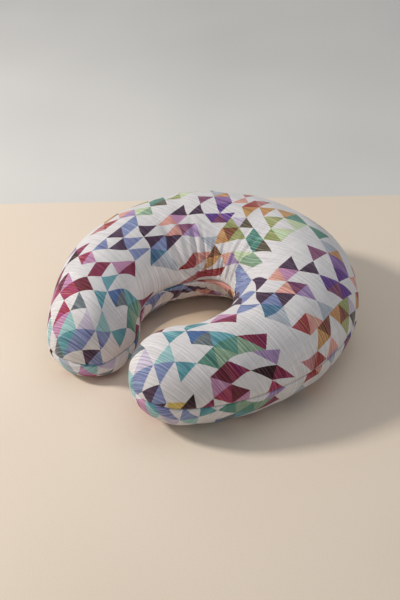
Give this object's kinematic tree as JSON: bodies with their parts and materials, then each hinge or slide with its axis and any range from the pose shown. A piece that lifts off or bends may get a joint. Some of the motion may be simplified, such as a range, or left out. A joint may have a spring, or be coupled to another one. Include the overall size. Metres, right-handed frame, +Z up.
{
  "type": "nursing pillow",
  "caption": "Horseshoe nursing pillow: fibre-filled liner inside a printed cotton slipcover that zips open along the outer back seam.",
  "frame": {"origin": "on the floor under the middle of the pillow's plan", "axes": "+Z up from the underside; -Y towards the mouth between the arm tips; +Y towards the closed back with the zip"},
  "size_m": [0.503, 0.5032, 0.166],
  "materials": {
    "printed_cotton": "matte slub-woven cotton with a printed triangle pattern",
    "liner_cloth": "matte plain white weave",
    "fibre": "matte loose fibre",
    "zip_tape": "matte woven tape",
    "zip_coil": "satin nylon",
    "slider_metal": "satin off-white lacquer on die-cast metal",
    "sewing_thread": "satin twisted thread",
    "label_satin": "smooth satin ribbon, blank"
  },
  "bodies": {
    "cushion": {"cover_top_panel": "printed_cotton", "cover_bottom_panel": "printed_cotton", "cover_seam_thread": "sewing_thread", "cover_care_label": "label_satin", "zipper_tape_upper": "zip_tape", "zipper_tape_lower": "zip_tape", "zipper_coil_upper": "zip_coil", "zipper_coil_lower": "zip_coil", "zipper_top_stop_upper": "slider_metal", "zipper_top_stop_lower": "slider_metal", "zipper_bottom_stop": "slider_metal", "zipper_stitch_upper": "sewing_thread", "zipper_stitch_lower": "sewing_thread", "liner_top_panel": "liner_cloth", "liner_bottom_panel": "liner_cloth", "liner_seam_thread": "sewing_thread", "liner_closing_stitch": "sewing_thread", "liner_law_label": "label_satin", "fibre_fill": "fibre"},
    "slider": {"zipper_slider": "slider_metal"},
    "pull_tab": {"zipper_pull_tab": "slider_metal"}
  },
  "joints": [
    {"name": "zip_travel", "type": "hinge", "parent": "cushion", "child": "slider", "pos_m": [0, -0.0011, 0.073], "axis": [0, 0, -1], "range_deg": [0, 77]},
    {"name": "tab_flip", "type": "hinge", "parent": "slider", "child": "pull_tab", "pos_m": [-0.15762, 0.19705, 0.073], "axis": [0, 0, 1], "range_deg": [0, 180]}
  ]
}
